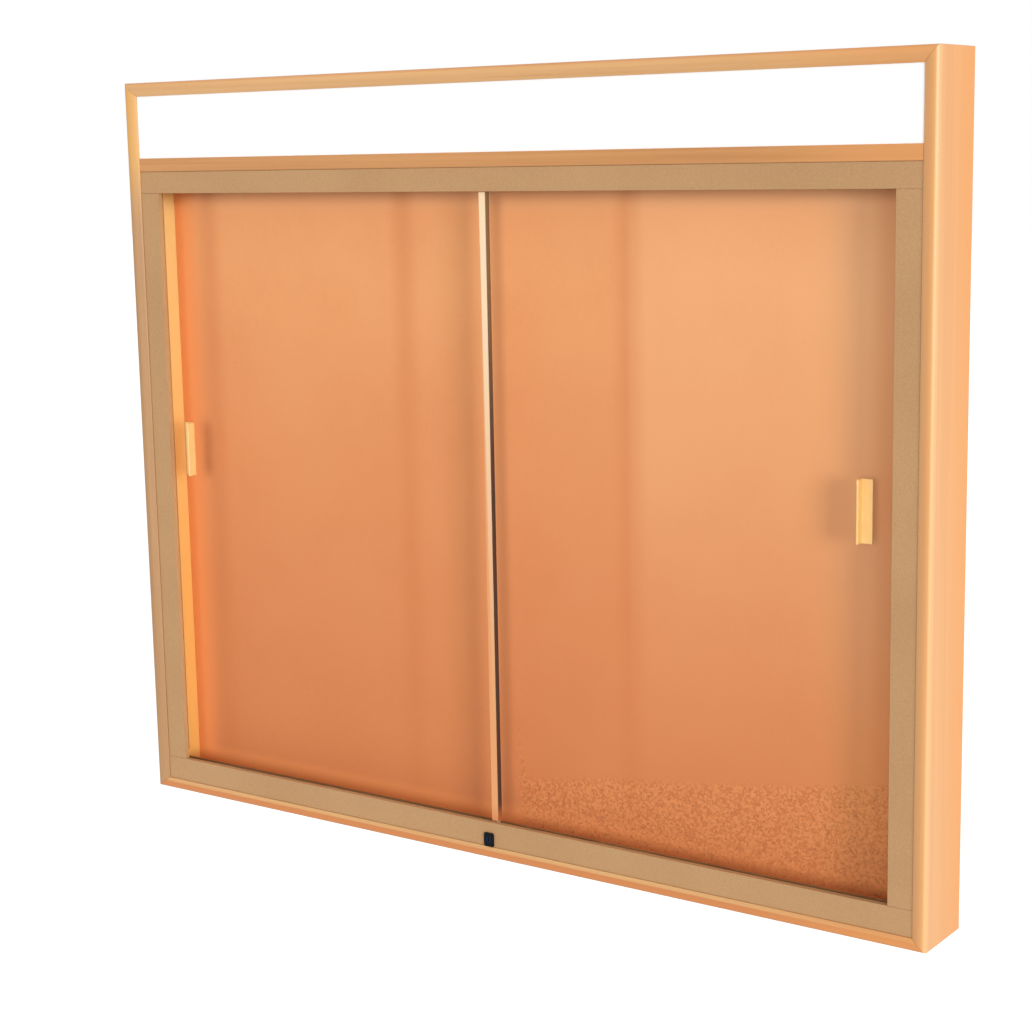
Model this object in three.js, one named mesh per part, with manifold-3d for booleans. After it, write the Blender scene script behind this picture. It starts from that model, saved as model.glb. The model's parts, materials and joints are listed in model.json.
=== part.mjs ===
// A wall-hung notice board cabinet with a name header and two sliding glass doors that lock.
// Units are millimetres. X runs to the right, Y runs into the wall, Z runs up.
// Inside the part, depths are counted from the front of the wood and heights from its underside;
// the outer group then moves the origin to the middle of the back.
import * as THREE from "three";
import { mergeVertices } from "three/addons/utils/BufferGeometryUtils.js";
import Module from "manifold-3d";

const wasm = await Module();
wasm.setup();

// Clearances
const seat = 0.3; // between pieces that rest on or against each other
const running = 0.05; // round a turning shaft
const sliding = 0.35; // beside a piece that slides
const half = 0.5;
const quarter = Math.PI * half;

// Wooden case
const caseWidth = 1219;
const caseHeight = 1016;
const caseDepth = 95;
const boardThickness = 18.5;
const bottomThickness = 13.5;
const arrisRadius = 4;
const arrisSteps = 6;
const frontFlat = 10; // flat front edge of a board before its inner bevel
const bevelDepth = 5;
const headerOpening = 85; // height of the opening above the divider
const dividerArris = 1;
const rebateWidth = 8; // step at the rear that takes the back board
const backThickness = 9.5;

// Header sign panel, held in grooves
const headerSetback = 6.3;
const headerThickness = 3;
const grooveDepth = 5;

// Pinning surface
const corkFace = 69;
const corkThickness = 4;
const coreThickness = 12;

// Hanging rail and keyhole hangers
const railHeight = 60;
const railThickness = 18;
const railGap = 12.5; // above the hanging rail
const hangerSpacing = 812.8;
const hangerWidth = 20;
const hangerHeight = 56;
const hangerThickness = 1.5;
const hangerHeadRadius = 5.5;
const hangerNeckRadius = 2.75;
const hangerSlotRise = 12;
const hangerPocketDepth = 5;
const hangerScrewPitch = 42;

// Aluminium door tracks and jambs
const trackFront = 6.3;
const trackWall = 1.6;
const trackLip = 7.7; // depth of the lip that frames the glass
const trackDepth = 41.7;
const topTrackHeight = 29.3;
const bottomTrackHeight = 32.4;
const topRearHeight = 26;
const bottomRearHeight = 22;
const topFinHeight = 20;
const bottomFinHeight = 15;
const ribWidth = 2.4;
const ribHeight = 1.5;
const jambReach = 31.7;
const jambDepth = 39.7;
const glideWall = 1.8;
const glideHeight = 22;
const sealBase = 4;
const sealWall = 1.6;
const sealReach = 12.8;

// Sliding glass doors
const frontGlassFace = 15;
const trackPitch = 20;
const glassThickness = 6;
const glassTopGap = 6; // above the glass in its glide channel
const glassEndGap = 0.5;
const doorOverlap = 20;
const shoeWall = 1.6;
const shoeHeight = 18.5;
const shoeBottom = 18.5;
const shoeWebBottom = 30;
const shoeSetback = 3.3;
const travelGap = 2.1; // left between an open door and the other door's pull
const stopLength = 20;
const stopWidth = 9;

// Meeting edge of the front door
const trimWidth = 9.2;
const trimWall = 1;
const edgeSealWidth = 1.2;

// Finger pulls
const pullHeight = 75;
const pullWidth = 15.4;
const pullPlate = 2.5;
const pullLeg = 2.8;
const pullReach = 13; // less than the gap between the panes, so the doors pass each other
const leftPullInset = 33; // from the jamb's face to the middle of the pull
const rightPullInset = 44.2;
const rightPullDrop = 7.3; // below the middle of the case
const leftPullRise = 5.3; // above the right pull

// Rollers
const wheelRadius = 6;
const treadRadius = 4.8;
const wheelWidth = 5;
const treadWidth = 3.2;
const axleRadius = 1.5;
const wheelInset = 40;
const roundSegments = 36;
const cornerSegments = 5;

// Cam lock and fork bolt
const lockX = -9;
const lockZ = 23.3;
const lockFaceWidth = 14.6;
const lockFaceHeight = 18.4;
const lockFaceRound = 2;
const lockFaceDepth = 2.8;
const lockBarrelRadius = 5.8;
const lockGrooveRadius = 5.1;
const lockRear = 9.4;
const clipOuterRadius = 7.6;
const clipThickness = 0.8;
const clipMouth = 7;
const plugRadius = 4.2;
const plugTail = 3.4;
const keywayWidth = 1.3;
const keywayHeight = 5.6;
const keywayDepth = 3.5;
const camThickness = 1;
const camHubRadius = 3.8;
const camEndRadius = 2.2;
const camArmWidth = 3.6;
const camThrow = 4.5;
const drivePinRadius = 1.2;
const drivePinLength = 1.7;
const boltTabThickness = 1.4;
const boltTabWidth = 7.6;
const boltTabTop = 23.2;
const boltBarWidth = 5;
const boltBarHeight = 2.4;
const boltBarBottom = 4.6;
const strikeLug = 3;
const strikeBottom = 17.4;
const strikeSlack = 1.7; // above the raised prong

// Countersunk screws
const screwShank = 1.5;
const screwHead = 3.1;
const longScrew = 13;
const shortScrew = 8;
const bottomScrewDepth = 23.2;
const jambScrewDepth = 28;
const jambScrewInset = 103.5; // from each end of a jamb

// Positions that follow from the sizes above
const innerHalf = caseWidth * half - boardThickness;
const innerTop = caseHeight - boardThickness;
const dividerTop = innerTop - headerOpening;
const dividerBottom = dividerTop - boardThickness;
const railTop = innerTop - railGap;
const trackRear = trackFront + trackDepth;
const trackHalf = innerHalf - seat;
const topTrackTop = dividerBottom - seat;
const topTrackBottom = topTrackTop - topTrackHeight;
const bottomTrackBottom = bottomThickness + seat;
const bottomTrackTop = bottomTrackBottom + bottomTrackHeight;
const baseTop = bottomTrackBottom + trackWall;
const jambFace = trackHalf - jambReach;
const jambRise = [bottomTrackTop + seat, topTrackBottom - seat];
const trackScrewX = trackHalf * half;
const frontGlassMiddle = frontGlassFace + glassThickness * half;
const rearGlassMiddle = frontGlassMiddle + trackPitch;
const finMiddle = frontGlassMiddle + trackPitch * half;
const shoeInner = glassThickness * half + seat;
const shoeOuter = shoeInner + shoeWall;
const glassBottom = shoeWebBottom + shoeWall + seat;
const glassTop = topTrackTop - trackWall - seat - glideWall - glassTopGap;
const glassEnd = trackHalf - trackWall - seat - sealBase - glassEndGap;
const leftPullX = leftPullInset - jambFace;
const rightPullX = jambFace - rightPullInset;
const rightPullZ = caseHeight * half - rightPullDrop;
const leftPullZ = rightPullZ + leftPullRise;
const doorTravel = rightPullX - pullWidth * half - travelGap;
const wheelMiddle = baseTop + ribHeight + seat + treadRadius;
// The cam turns a quarter, from 45 degrees below level to 45 above.
const boltTravel = camThrow * Math.SQRT2;
const strikePocketTop = baseTop + ribHeight + boltTravel + strikeSlack;
const coreFace = corkFace + corkThickness + seat;
const backFace = caseDepth - backThickness;

// Finishes
const paint = (color, roughness, metalness = 0) =>
  new THREE.MeshStandardMaterial({ color, roughness, metalness });
const woodTone = 0xd9a066;
const taupeTone = 0xab8560;
const corkTone = 0xc88450;
const steelTone = 0xb9bcc0;
const rubberTone = 0x2a2622;
const nylonTone = 0x8a7a68;

// Solid modelling
function toSolid(geometry) {
  const bare = geometry.clone();
  bare.deleteAttribute("normal");
  bare.deleteAttribute("uv");
  const merged = mergeVertices(bare);
  return new wasm.Manifold(
    new wasm.Mesh({
      numProp: 3,
      vertProperties: new Float32Array(merged.attributes.position.array),
      triVerts: new Uint32Array(merged.index.array),
    }),
  );
}

function toGeometry(solid) {
  const mesh = solid.getMesh();
  const geometry = new THREE.BufferGeometry();
  geometry.setAttribute("position", new THREE.BufferAttribute(mesh.vertProperties, 3));
  geometry.setIndex(new THREE.BufferAttribute(mesh.triVerts, 1));
  geometry.computeVertexNormals();
  return geometry;
}

function cut(geometry, tools) {
  let solid = toSolid(geometry);
  for (const tool of tools) solid = solid.subtract(toSolid(tool));
  return toGeometry(solid);
}

function join(geometries) {
  let solid = toSolid(geometries[0]);
  for (const other of geometries.slice(1)) solid = solid.add(toSolid(other));
  return toGeometry(solid);
}

function box([x0, x1], [y0, y1], [z0, z1]) {
  const geometry = new THREE.BoxGeometry(x1 - x0, y1 - y0, z1 - z0);
  return geometry.translate((x0 + x1) * half, (y0 + y1) * half, (z0 + z1) * half);
}

const outline = (points) => new THREE.Shape(points.map(([a, b]) => new THREE.Vector2(a, b)));
const sweep = (points, depth) =>
  new THREE.ExtrudeGeometry(outline(points), { depth, bevelEnabled: false, steps: 1 });

// A depth and height outline, carried along X from x0 to x1.
function barAlongX(points, [x0, x1]) {
  const geometry = sweep(points, x1 - x0);
  const turn = new THREE.Matrix4().makeBasis(
    new THREE.Vector3(0, 1, 0),
    new THREE.Vector3(0, 0, 1),
    new THREE.Vector3(1, 0, 0),
  );
  return geometry.applyMatrix4(turn).translate(x0, 0, 0);
}

// A width and depth outline, carried up Z from z0 to z1.
const barAlongZ = (points, [z0, z1]) => sweep(points, z1 - z0).translate(0, 0, z0);

// A ring or rod turned about the Y axis through x, z; the outline gives radius and depth.
function turned(points, x, z) {
  const profile = points.map(([radius, depth]) => new THREE.Vector2(radius, depth));
  return new THREE.LatheGeometry(profile, roundSegments).translate(x, 0, z);
}

function rod(radius, [y0, y1], x, z) {
  const length = y1 - y0;
  const geometry = new THREE.CylinderGeometry(radius, radius, length, roundSegments);
  return geometry.translate(x, (y0 + y1) * half, z);
}

// A plate in the XZ plane with rounded corners; its back lies at Y = 0
function roundedPlate(width, height, radius, depth) {
  const shape = new THREE.Shape();
  const [x, z] = [width * half - radius, height * half - radius];
  [[x, z], [-x, z], [-x, -z], [x, -z]].forEach(([cornerX, cornerZ], turns) => {
    shape.absarc(cornerX, cornerZ, radius, turns * quarter, (turns + 1) * quarter);
  });
  const plate = new THREE.ExtrudeGeometry(shape, {
    depth,
    bevelEnabled: false,
    curveSegments: cornerSegments,
  });
  return plate.rotateX(quarter);
}

function piece(group, name, geometry, material) {
  const mesh = new THREE.Mesh(geometry, material);
  mesh.name = name;
  group.add(mesh);
  return mesh;
}

const board = new THREE.Group();
board.position.set(0, -caseDepth, -caseHeight * half);

// Wooden case: four mitred boards, each with a rounded outer arris and a bevel towards the opening
function boardOutline(thickness) {
  const thinShare = thickness / boardThickness;
  const points = [];
  for (let i = 0; i <= arrisSteps; i += 1) {
    const angle = (quarter * i) / arrisSteps;
    const across = arrisRadius * (1 - Math.sin(angle));
    points.push([across * thinShare, arrisRadius * (1 - Math.cos(angle))]);
  }
  points.push([0, caseDepth]);
  points.push([(boardThickness - rebateWidth) * thinShare, caseDepth]);
  points.push([(boardThickness - rebateWidth) * thinShare, backFace - seat]);
  points.push([thickness, backFace - seat]);
  points.push([thickness, bevelDepth]);
  points.push([frontFlat * thinShare, 0]);
  return points;
}

// Moves both ends of a board along its length, so that it meets its neighbours on a mitre.
function mitre(geometry, along, across, acrossOf, low, high) {
  const position = geometry.attributes.position;
  const value = new THREE.Vector3();
  for (let i = 0; i < position.count; i += 1) {
    value.fromBufferAttribute(position, i);
    const inward = acrossOf(value[across]);
    const isHigh = value[along] > (low.at + high.at) * half;
    const end = isHigh ? high : low;
    const sign = isHigh ? -1 : 1;
    value[along] = end.at + sign * (inward * end.slope + seat * half);
    position.setXYZ(i, value.x, value.y, value.z);
  }
  return geometry;
}

function sideBoard(side) {
  const points = boardOutline(boardThickness).map(([u, y]) => [side * (caseWidth * half - u), y]);
  const geometry = barAlongZ(points, [0, caseHeight]);
  const low = { at: 0, slope: bottomThickness / boardThickness };
  const high = { at: caseHeight, slope: 1 };
  return mitre(geometry, "z", "x", (x) => caseWidth * half - Math.abs(x), low, high);
}

function levelBoard(thickness, heightOf, acrossOf) {
  const points = boardOutline(thickness).map(([u, y]) => [y, heightOf(u)]);
  const ends = [-caseWidth * half, caseWidth * half];
  const slope = boardThickness / thickness;
  const geometry = barAlongX(points, ends);
  return mitre(geometry, "x", "z", acrossOf, { at: ends[0], slope }, { at: ends[1], slope });
}

const caseGroup = new THREE.Group();
board.add(caseGroup);

const headerHalf = innerHalf + grooveDepth;
const headerLow = dividerTop - grooveDepth;
const headerHigh = innerTop + grooveDepth;
const headerGroove = box(
  [-headerHalf - seat, headerHalf + seat],
  [headerSetback - seat, headerSetback + headerThickness + seat],
  [headerLow - seat, headerHigh + seat],
);

// Screws: a countersunk head at y = 0 and a plain shank running to +Y, turned to their places
function screwShape(length, grow) {
  const head = screwHead + grow;
  const shank = screwShank + grow;
  const points = [
    [0, -grow],
    [head, -grow],
    [shank, trackWall],
    [shank, length + grow],
    [0, length + grow],
  ];
  return turned(points, 0, 0);
}

const screwPlaces = [];
for (const [side, x] of [["left", -trackScrewX], ["right", trackScrewX]])
  screwPlaces.push(
    {
      name: `top_track_screw_${side}`,
      at: [x, frontGlassMiddle, topTrackTop - trackWall],
      facing: "up",
    },
    { name: `bottom_track_screw_${side}`, at: [x, bottomScrewDepth, baseTop], facing: "down" },
  );
for (const [side, x] of [["left", trackWall - trackHalf], ["right", trackHalf - trackWall]])
  screwPlaces.push(
    {
      name: `${side}_jamb_screw_low`,
      at: [x, jambScrewDepth, jambRise[0] + jambScrewInset],
      facing: side,
    },
    {
      name: `${side}_jamb_screw_high`,
      at: [x, jambScrewDepth, jambRise[1] - jambScrewInset],
      facing: side,
    },
  );
// The hanger plates and their screw heads sit just under flush, so that only wood touches the wall.
const hangerMiddle = railTop - railHeight * half;
for (const [side, x] of [["left", -hangerSpacing * half], ["right", hangerSpacing * half]])
  for (const [end, rise] of [["low", -hangerScrewPitch * half], ["high", hangerScrewPitch * half]])
    screwPlaces.push({
      name: `${side}_hanger_screw_${end}`,
      at: [x, caseDepth - seat, hangerMiddle + rise],
      facing: "front",
    });

const turns = {
  up: [quarter, 0],
  down: [-quarter, 0],
  left: [0, quarter],
  right: [0, -quarter],
  front: [Math.PI, 0],
};

function screwGeometry(place, grow) {
  const length = place.facing === "down" ? shortScrew : longScrew;
  const [aboutX, aboutZ] = turns[place.facing];
  const geometry = screwShape(length, grow);
  return geometry.rotateX(aboutX).rotateZ(aboutZ).translate(...place.at);
}

const screwHoles = screwPlaces.map((place) => ({ ...place, hole: screwGeometry(place, seat) }));
const holesFacing = (...facings) =>
  screwHoles.filter((place) => facings.includes(place.facing)).map((place) => place.hole);

// The lock's fork bolt moves in a pocket cut into the bottom board under the track.
const boltTabFront = lockRear + seat + camThickness + seat;
const boltX = [lockX - boltBarWidth * half, lockX + boltBarWidth * half];
const pinRestX = lockX + camThrow * Math.SQRT1_2;
const pinRestZ = lockZ - camThrow * Math.SQRT1_2;
const slotEndX = lockX + camThrow + drivePinRadius + sliding;
const slotStartX = pinRestX - drivePinRadius - sliding;
const tabMiddle = (slotStartX + slotEndX) * half;
const tabX = [tabMiddle - boltTabWidth * half, tabMiddle + boltTabWidth * half];
const tabY = [boltTabFront, boltTabFront + boltTabThickness];
const prongRear = rearGlassMiddle + ribWidth * half;
const wide = ([a, b], grow) => [a - grow, b + grow];
const boltPocket = box(
  wide([Math.min(boltX[0], tabX[0]), Math.max(boltX[1], tabX[1])], sliding),
  wide([tabY[0], prongRear], sliding),
  [boltBarBottom - seat, bottomThickness + seat],
);

const caseWood = paint(woodTone, 0.55);
for (const [name, side] of [["left", -1], ["right", 1]])
  piece(
    caseGroup,
    `${name}_side_board`,
    cut(sideBoard(side), [headerGroove, ...holesFacing(name)]),
    caseWood.clone(),
  );
piece(
  caseGroup,
  "top_board",
  cut(
    levelBoard(boardThickness, (u) => caseHeight - u, (z) => caseHeight - z),
    [headerGroove],
  ),
  caseWood.clone(),
);
piece(
  caseGroup,
  "bottom_board",
  cut(
    levelBoard(bottomThickness, (u) => u, (z) => z),
    [boltPocket, ...holesFacing("down")],
  ),
  caseWood.clone(),
);

// Divider between header and doors, butted between the side boards and set back as far as their
// bevels reach
const dividerOutline = [
  [bevelDepth, dividerBottom + dividerArris],
  [bevelDepth + dividerArris, dividerBottom],
  [backFace - seat, dividerBottom],
  [backFace - seat, dividerTop],
  [bevelDepth, dividerTop],
];
const dividerEnd = innerHalf - seat;
const dividerBlank = barAlongX(dividerOutline, [-dividerEnd, dividerEnd]);
piece(
  caseGroup,
  "header_divider",
  cut(dividerBlank, [headerGroove, ...holesFacing("up")]),
  paint(woodTone, 0.55),
);

piece(
  caseGroup,
  "header_panel",
  box(
    [-headerHalf, headerHalf],
    [headerSetback, headerSetback + headerThickness],
    [headerLow, headerHigh],
  ),
  paint(0xf8f8f6, 0.35),
);

// Back board in the rear rebate, with pockets for the keyhole hangers
const backHalf = innerHalf + rebateWidth - seat;
const bottomRebate = (rebateWidth * bottomThickness) / boardThickness;
const hangerXs = { left: -hangerSpacing * half, right: hangerSpacing * half };
const hangerPockets = Object.values(hangerXs).flatMap((x) => [
  box(
    [x - hangerWidth * half - seat, x + hangerWidth * half + seat],
    [caseDepth - hangerThickness - seat - seat, caseDepth + seat],
    [hangerMiddle - hangerHeight * half - seat, hangerMiddle + hangerHeight * half + seat],
  ),
  box(
    [x - hangerHeadRadius, x + hangerHeadRadius],
    [caseDepth - hangerPocketDepth - hangerThickness, caseDepth],
    [hangerMiddle - hangerHeadRadius - hangerSlotRise * half, hangerMiddle + hangerSlotRise],
  ),
]);
piece(
  caseGroup,
  "back_board",
  cut(
    box(
      [-backHalf, backHalf],
      [backFace, caseDepth],
      [bottomThickness - bottomRebate + seat, innerTop + rebateWidth - seat],
    ),
    [...hangerPockets, ...holesFacing("front")],
  ),
  paint(0xb98a58, 0.75),
);
piece(
  caseGroup,
  "hanging_rail",
  cut(
    box(
      [-trackHalf, trackHalf],
      [backFace - seat - railThickness, backFace - seat],
      [railTop - railHeight, railTop],
    ),
    holesFacing("front"),
  ),
  paint(0xc79a66, 0.7),
);

function hangerPlate(x) {
  const plateY = [caseDepth - seat - hangerThickness, caseDepth - seat];
  const blank = box(
    [x - hangerWidth * half, x + hangerWidth * half],
    plateY,
    [hangerMiddle - hangerHeight * half, hangerMiddle + hangerHeight * half],
  );
  const through = wide(plateY, seat);
  const lowHole = hangerMiddle - hangerSlotRise * half;
  const highHole = hangerMiddle + hangerSlotRise * half;
  const holes = [
    rod(hangerHeadRadius - seat, through, x, lowHole),
    rod(hangerNeckRadius, through, x, highHole),
    box([x - hangerNeckRadius, x + hangerNeckRadius], through, [lowHole, highHole]),
  ];
  return cut(blank, [...holes, ...holesFacing("front")]);
}
for (const [side, x] of Object.entries(hangerXs))
  piece(caseGroup, `${side}_hanger`, hangerPlate(x), paint(steelTone, 0.35, 0.9));

// Cork sheet and the fibreboard core that it is glued to
const pinSpan = [-trackHalf, trackHalf];
const pinRise = [bottomThickness + seat, dividerBottom - seat];
piece(
  caseGroup,
  "cork_panel",
  box(pinSpan, [corkFace, corkFace + corkThickness], pinRise),
  paint(corkTone, 0.95),
);
piece(
  caseGroup,
  "fibreboard_core",
  box(pinSpan, [coreFace, coreFace + coreThickness - seat - seat], pinRise),
  paint(0xa9865f, 0.9),
);

// Aluminium tracks: the top one's walls hang down, the bottom one's stand up beside two ribs
const trackGroup = new THREE.Group();
board.add(trackGroup);

function trackOutline(height, rearHeight, finHeight, ribs, base, up) {
  const level = (rise) => base + up * rise;
  const points = [
    [trackFront, level(0)],
    [trackRear, level(0)],
    [trackRear, level(rearHeight)],
    [trackRear - trackWall, level(rearHeight)],
    [trackRear - trackWall, level(trackWall)],
  ];
  const bump = (middle, width, rise) => {
    points.push([middle + width * half, level(trackWall)]);
    points.push([middle + width * half, level(rise)]);
    points.push([middle - width * half, level(rise)]);
    points.push([middle - width * half, level(trackWall)]);
  };
  if (ribs) bump(rearGlassMiddle, ribWidth, trackWall + ribHeight);
  bump(finMiddle, trackWall, finHeight);
  if (ribs) bump(frontGlassMiddle, ribWidth, trackWall + ribHeight);
  points.push([trackFront + trackWall, level(trackWall)]);
  points.push([trackFront + trackWall, level(height - trackWall)]);
  points.push([trackFront + trackLip, level(height - trackWall)]);
  points.push([trackFront + trackLip, level(height)]);
  points.push([trackFront, level(height)]);
  return points;
}

const trackSpan = [-trackHalf, trackHalf];
const topTrackOutline = trackOutline(
  topTrackHeight,
  topRearHeight,
  topFinHeight,
  false,
  topTrackTop,
  -1,
);
piece(
  trackGroup,
  "top_track",
  cut(barAlongX(topTrackOutline, trackSpan), holesFacing("up")),
  paint(taupeTone, 0.5, 0.25),
);

const bottomTrackOutline = trackOutline(
  bottomTrackHeight,
  bottomRearHeight,
  bottomFinHeight,
  true,
  bottomTrackBottom,
  1,
);
const prongCut = (middle) =>
  box(
    wide(boltX, sliding),
    wide([middle - ribWidth * half, middle + ribWidth * half], sliding),
    [bottomTrackBottom - seat, baseTop + ribHeight + seat],
  );
const lockHole = rod(
  lockBarrelRadius + seat,
  wide([trackFront, trackFront + trackWall], seat),
  lockX,
  lockZ,
);
const tabCut = box(
  wide(tabX, sliding),
  wide(tabY, sliding),
  wide([bottomTrackBottom, baseTop], seat),
);
piece(
  trackGroup,
  "bottom_track",
  cut(barAlongX(bottomTrackOutline, trackSpan), [
    lockHole,
    tabCut,
    prongCut(frontGlassMiddle),
    prongCut(rearGlassMiddle),
    ...holesFacing("down"),
  ]),
  paint(taupeTone, 0.5, 0.25),
);

// Jambs between the tracks, with the U-shaped rubber seal that each door closes into
function jambOutline(side) {
  const face = [jambFace, trackFront];
  const points = [
    [trackHalf, trackFront],
    [trackHalf, trackFront + jambDepth],
    [trackHalf - trackWall, trackFront + jambDepth],
    [trackHalf - trackWall, trackFront + trackWall],
    [jambFace + trackWall, trackFront + trackWall],
    [jambFace + trackWall, trackFront + trackLip],
    [jambFace, trackFront + trackLip],
    face,
  ];
  return points.map(([x, y]) => [side * x, y]);
}

function sealOutline(side, middle) {
  const outer = trackHalf - trackWall - seat;
  const inside = glassThickness * half + sliding;
  const outside = inside + sealWall;
  const points = [
    [outer, middle - outside],
    [outer, middle + outside],
    [outer - sealReach, middle + outside],
    [outer - sealReach, middle + inside],
    [outer - sealBase, middle + inside],
    [outer - sealBase, middle - inside],
    [outer - sealReach, middle - inside],
    [outer - sealReach, middle - outside],
  ];
  return points.map(([x, y]) => [side * x, y]);
}

const jambs = [
  { name: "left", side: -1, middle: frontGlassMiddle },
  { name: "right", side: 1, middle: rearGlassMiddle },
];
for (const { name, side, middle } of jambs) {
  const web = cut(barAlongZ(jambOutline(side), jambRise), holesFacing(name));
  const seal = barAlongZ(sealOutline(side, middle), jambRise);
  piece(trackGroup, `${name}_jamb`, web, paint(taupeTone, 0.5, 0.25));
  piece(trackGroup, `${name}_jamb_seal`, seal, paint(rubberTone, 0.85));
}

// Plastic glide channels that steady the top edge of each glass
function glideOutline(middle) {
  const inside = glassThickness * half + sliding;
  const outside = inside + glideWall;
  const top = topTrackTop - trackWall - seat;
  return [
    [middle - outside, top],
    [middle - outside, top - glideHeight],
    [middle - inside, top - glideHeight],
    [middle - inside, top - glideWall],
    [middle + inside, top - glideWall],
    [middle + inside, top - glideHeight],
    [middle + outside, top - glideHeight],
    [middle + outside, top],
  ];
}
for (const [name, middle] of [["front", frontGlassMiddle], ["rear", rearGlassMiddle]])
  piece(
    trackGroup,
    `${name}_glide_channel`,
    barAlongX(glideOutline(middle), trackSpan),
    paint(nylonTone, 0.6),
  );

// Rubber stops in the bottom track that end each door's travel short of the other door's pull
const shoeRight = -shoeSetback; // meeting end of the front door's shoe
const shoeLeft = -doorOverlap + shoeSetback; // meeting end of the rear door's shoe
function doorStop([x0, x1], middle) {
  const block = box(
    [x0, x1],
    [middle - stopWidth * half, middle + stopWidth * half],
    [baseTop + seat, glassBottom - seat],
  );
  const ribRoom = ribWidth * half + seat;
  const groove = box(
    wide([x0, x1], seat),
    [middle - ribRoom, middle + ribRoom],
    [baseTop, baseTop + ribHeight + seat + seat],
  );
  return cut(block, [groove]);
}
const frontStopX = shoeRight + doorTravel + glassEndGap;
const rearStopX = shoeLeft - doorTravel - glassEndGap;
piece(
  trackGroup,
  "left_door_stop",
  doorStop([frontStopX, frontStopX + stopLength], frontGlassMiddle),
  paint(rubberTone, 0.85),
);
piece(
  trackGroup,
  "right_door_stop",
  doorStop([rearStopX - stopLength, rearStopX], rearGlassMiddle),
  paint(rubberTone, 0.85),
);

for (const place of screwPlaces)
  piece(trackGroup, place.name, screwGeometry(place, 0), paint(steelTone, 0.35, 0.9));

// Sliding doors: glass standing in an H-shaped shoe that holds two grooved wheels and a lock strike
const strikeHalf = boltBarWidth * half + glassEndGap;
function shoeGeometry([x0, x1], middle, wheels) {
  const points = [
    [middle - shoeOuter, shoeBottom],
    [middle - shoeInner, shoeBottom],
    [middle - shoeInner, shoeWebBottom],
    [middle + shoeInner, shoeWebBottom],
    [middle + shoeInner, shoeBottom],
    [middle + shoeOuter, shoeBottom],
    [middle + shoeOuter, shoeBottom + shoeHeight],
    [middle + shoeInner, shoeBottom + shoeHeight],
    [middle + shoeInner, shoeWebBottom + shoeWall],
    [middle - shoeInner, shoeWebBottom + shoeWall],
    [middle - shoeInner, shoeBottom + shoeHeight],
    [middle - shoeOuter, shoeBottom + shoeHeight],
  ];
  const through = [middle - shoeOuter - seat, middle + shoeOuter + seat];
  const axleHoles = wheels.map((x) => rod(axleRadius + seat, through, x, wheelMiddle));
  return cut(barAlongX(points, [x0, x1]), axleHoles);
}

function wheelGeometry(x, middle) {
  const w = wheelWidth * half;
  const t = treadWidth * half;
  const bore = axleRadius + running;
  const points = [
    [bore, -w],
    [wheelRadius, -w],
    [wheelRadius, -t],
    [treadRadius, -t],
    [treadRadius, t],
    [wheelRadius, t],
    [wheelRadius, w],
    [bore, w],
    [bore, -w],
  ];
  return turned(points, x, wheelMiddle).translate(0, middle, 0);
}

function strikeGeometry(middle) {
  const y = [middle - glassThickness * half, middle + glassThickness * half];
  const top = shoeWebBottom - seat;
  const block = box(
    wide([lockX - strikeHalf, lockX + strikeHalf], strikeLug),
    y,
    [strikeBottom, top],
  );
  const pocket = box(
    [lockX - strikeHalf, lockX + strikeHalf],
    wide(y, seat),
    [strikeBottom - seat, strikePocketTop],
  );
  return cut(block, [pocket]);
}

// Each pull is an angle whose leg stands on the side of its plate nearer the middle of the case.
function pullGeometry([x, z], glassFace) {
  const back = glassFace - seat;
  const outward = Math.sign(x);
  const legFace = x - outward * pullWidth * half;
  const legInner = legFace + outward * pullLeg;
  const plateEnd = legFace + outward * pullWidth;
  const points = [
    [legFace, back - pullReach],
    [legInner, back - pullReach],
    [legInner, back - pullPlate],
    [plateEnd, back - pullPlate],
    [plateEnd, back],
    [legFace, back],
  ];
  return barAlongZ(points, [z - pullHeight * half, z + pullHeight * half]);
}

const glassTint = 0xdfeeea;
function addDoor(side, middle, [glassLeft, glassRight], pullPlace) {
  const door = new THREE.Group();
  board.add(door);
  const shoeX = [
    glassLeft + (side === "left" ? shoeSetback : doorOverlap + shoeLeft),
    side === "left" ? shoeRight : glassRight - shoeSetback,
  ];
  const wheels = [shoeX[0] + wheelInset, shoeX[1] - wheelInset];
  const face = middle - glassThickness * half;
  const glass = box([glassLeft, glassRight], [face, face + glassThickness], [glassBottom, glassTop]);
  const glassPaint = paint(glassTint, 0.05);
  glassPaint.transparent = true;
  glassPaint.opacity = 0.3;
  piece(door, `${side}_glass`, glass, glassPaint);
  piece(door, `${side}_shoe`, shoeGeometry(shoeX, middle, wheels), paint(taupeTone, 0.4, 0.5));
  piece(door, `${side}_strike`, strikeGeometry(middle), paint(steelTone, 0.35, 0.9));
  piece(door, `${side}_pull`, pullGeometry(pullPlace, face), paint(0xe0b070, 0.3, 0.3));
  ["left", "right"].forEach((end, i) => {
    const name = `${side}_door_${end}`;
    piece(door, `${name}_wheel`, wheelGeometry(wheels[i], middle), paint(0xe9e4d8, 0.5));
    const reach = shoeOuter - seat;
    const axle = rod(axleRadius, [middle - reach, middle + reach], wheels[i], wheelMiddle);
    piece(door, `${name}_axle`, axle, paint(steelTone, 0.3, 0.9));
  });
  return door;
}

const leftGlassRight = -trimWall - seat - edgeSealWidth * half;
const leftPullPlace = [leftPullX, leftPullZ];
const leftDoor = addDoor("left", frontGlassMiddle, [-glassEnd, leftGlassRight], leftPullPlace);
addDoor("right", rearGlassMiddle, [-doorOverlap, glassEnd], [rightPullX, rightPullZ]);

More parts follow.
